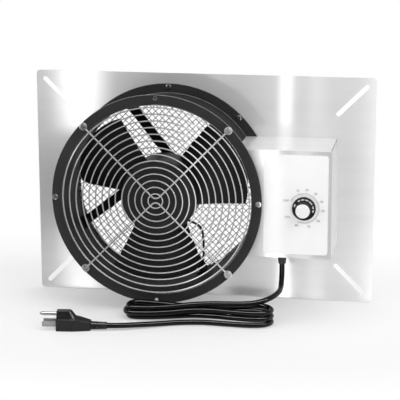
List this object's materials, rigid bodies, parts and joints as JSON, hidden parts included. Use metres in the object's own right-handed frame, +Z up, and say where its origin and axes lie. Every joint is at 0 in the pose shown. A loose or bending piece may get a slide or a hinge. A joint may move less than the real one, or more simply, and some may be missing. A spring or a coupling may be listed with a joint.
{
  "type": "crawl space ventilation fan",
  "caption": "Wall plate with a ducted axial fan behind a round wire guard, a control box with a humidity knob, and a mains cord folded in a hank with its plug.",
  "frame": {"origin": "middle of the plate's width, on the floor, halfway between the plate's rear face and the knob's front", "axes": "+X to the right along the plate, +Y out of the rear face into the wall, +Z up"},
  "size_m": [0.45, 0.1898, 0.3],
  "materials": {
    "plate_steel": "bright rolled sheet, nearly a mirror",
    "box_steel": "bright rolled sheet, folded",
    "mesh_steel": "galvanised wire",
    "duct_paint": "satin black paint",
    "bracket_paint": "satin black paint",
    "can_paint": "matt black paint",
    "blade_paint": "matt black paint",
    "guard_wire": "bright plated wire",
    "bright_fastener": "zinc plated",
    "dark_fastener": "black oxide",
    "motor_casting": "as cast",
    "lamination": "stacked sheet",
    "copper_winding": "enamelled copper wire",
    "bearing_steel": "ground",
    "cord_pvc": "glossy black PVC",
    "earth_pvc": "black PVC",
    "grommet_rubber": "matt",
    "label_film": "white film",
    "stat_plastic": "moulded",
    "spindle_brass": "turned",
    "knob_plastic": "moulded, fine texture",
    "cap_aluminium": "spun face",
    "block_plastic": "moulded",
    "capacitor_can": "drawn can",
    "gland_plastic": "moulded",
    "plug_pvc": "moulded PVC",
    "prong_metal": "nickel plated"
  },
  "bodies": {
    "housing": {"mounting_plate": "plate_steel", "rear_mesh": "mesh_steel", "fan_duct": "duct_paint", "flange_rivets": "bright_fastener", "guard_rings": "guard_wire", "guard_spokes": "guard_wire", "guard_screws": "bright_fastener", "guard_nuts": "bright_fastener", "flange_screws": "bright_fastener", "motor_spider": "bracket_paint", "bracket_screws": "dark_fastener", "bracket_nuts": "dark_fastener", "stator_base": "motor_casting", "stator_core": "lamination", "stator_windings": "copper_winding", "motor_screws": "dark_fastener", "rear_bearing": "bearing_steel", "front_bearing": "bearing_steel", "motor_lead": "cord_pvc", "duct_grommet": "grommet_rubber", "earth_wire": "earth_pvc", "control_box": "box_steel", "box_screws": "bright_fastener", "label_plate": "label_film", "humidistat_body": "stat_plastic", "humidistat_screws": "bright_fastener", "terminal_block": "block_plastic", "run_capacitor": "capacitor_can", "capacitor_clip": "mesh_steel", "strain_relief": "gland_plastic", "cord_drop": "cord_pvc", "cord_hank": "cord_pvc", "cord_lead": "cord_pvc", "plug_body": "plug_pvc", "plug_relief": "plug_pvc", "plug_blades": "prong_metal", "ground_pin": "prong_metal"},
    "impeller": {"rotor_can": "can_paint", "rotor_core": "lamination", "motor_shaft": "bearing_steel", "blade_1": "blade_paint", "blade_2": "blade_paint", "blade_3": "blade_paint"},
    "dial": {"knob": "knob_plastic", "knob_cap": "cap_aluminium", "humidistat_spindle": "spindle_brass"}
  },
  "joints": [
    {"name": "fan_spin", "type": "hinge", "parent": "housing", "child": "impeller", "pos_m": [-0.0465, 0, 0.15], "axis": [0, -1, 0], "continuous": true},
    {"name": "knob_turn", "type": "hinge", "parent": "housing", "child": "dial", "pos_m": [0.1428, 0, 0.1459], "axis": [0, -1, 0], "range_deg": [-150, 150]}
  ]
}
